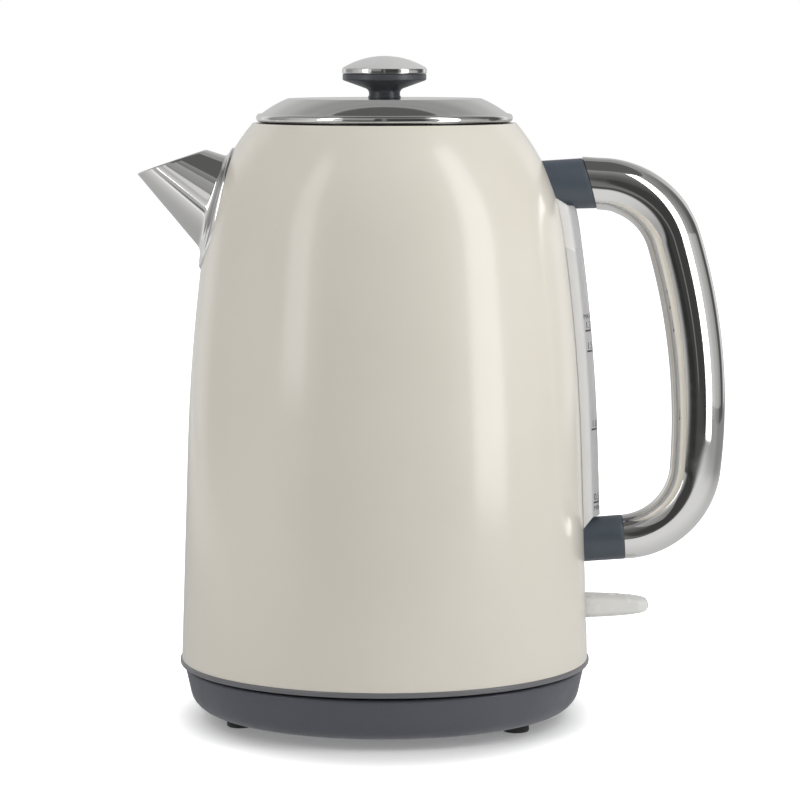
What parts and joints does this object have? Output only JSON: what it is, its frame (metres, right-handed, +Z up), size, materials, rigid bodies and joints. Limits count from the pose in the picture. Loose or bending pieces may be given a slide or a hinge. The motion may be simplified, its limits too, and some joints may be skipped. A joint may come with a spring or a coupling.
{
  "type": "electric kettle",
  "caption": "Round enamelled electric kettle: jug with cone spout, tube handle, water gauge, switch lever and lift-off knobbed lid, standing on a swivel power base.",
  "frame": {"origin": "on the jug's axis, in the plane of the feet", "axes": "+Z up along the jug's axis, +X towards the handle, -X towards the spout"},
  "size_m": [0.2229, 0.1564, 0.2512],
  "materials": {
    "cream_enamel": "glossy baked enamel",
    "polished_metal": "mirror polished",
    "satin_steel": "satin",
    "slate_plastic": "satin moulded",
    "base_plastic": "fine moulded grain",
    "ring_plastic": "satin gloss",
    "dark_plastic": "moulded",
    "knob_plastic": "satin gloss",
    "lever_plastic": "translucent gloss",
    "gauge_plastic": "frosted clear",
    "aluminium": "as cast",
    "brass": "plain",
    "zinc_steel": "zinc plated",
    "black_rubber": "matt",
    "clear_silicone": "soft matt"
  },
  "bodies": {
    "power_base": {"base_upper_shell": "base_plastic", "base_bottom_plate": "base_plastic", "rubber_feet": "black_rubber", "lower_connector": "dark_plastic", "earth_pin": "brass", "base_screws": "zinc_steel", "cord_grommet": "black_rubber"},
    "contact_socket": {"upper_connector": "dark_plastic", "contact_rings": "brass"},
    "jug": {"jug_base_cover": "ring_plastic", "cover_screws": "zinc_steel", "body_shell": "cream_enamel", "neck_ring": "satin_steel", "heater_plate": "satin_steel", "heat_diffuser": "aluminium", "heating_element": "satin_steel", "control_housing": "dark_plastic", "steam_tube": "dark_plastic", "steam_tube_seal": "clear_silicone", "steam_disc": "brass", "steam_switch_holder": "dark_plastic", "switch_bracket": "dark_plastic", "switch_pivot_pin": "zinc_steel", "spout": "polished_metal", "spout_strainer": "satin_steel", "handle_tube": "polished_metal", "handle_upper_bracket": "slate_plastic", "handle_lower_bracket": "slate_plastic", "handle_screws": "zinc_steel", "water_gauge": "gauge_plastic", "gauge_seals": "clear_silicone"},
    "switch": {"switch_lever": "lever_plastic"},
    "lid": {"lid_cover": "polished_metal", "lid_plug": "dark_plastic", "lid_seal": "clear_silicone", "knob_stem": "knob_plastic", "knob_cap": "polished_metal", "knob_screw": "zinc_steel"}
  },
  "joints": [
    {"name": "jug_lift", "type": "slide", "parent": "power_base", "child": "contact_socket", "axis": [0, 0, 1], "range_m": [0, 0.06]},
    {"name": "jug_swivel", "type": "hinge", "parent": "contact_socket", "child": "jug", "pos_m": [0, 0, 0.0334], "axis": [0, 0, 1], "continuous": true},
    {"name": "lid_lift", "type": "slide", "parent": "jug", "child": "lid", "axis": [0, 0, 1], "range_m": [0, 0.06]},
    {"name": "switch_press", "type": "hinge", "parent": "jug", "child": "switch", "pos_m": [0.07046, 0, 0.042], "axis": [0, 1, 0], "range_deg": [0, 12]}
  ]
}
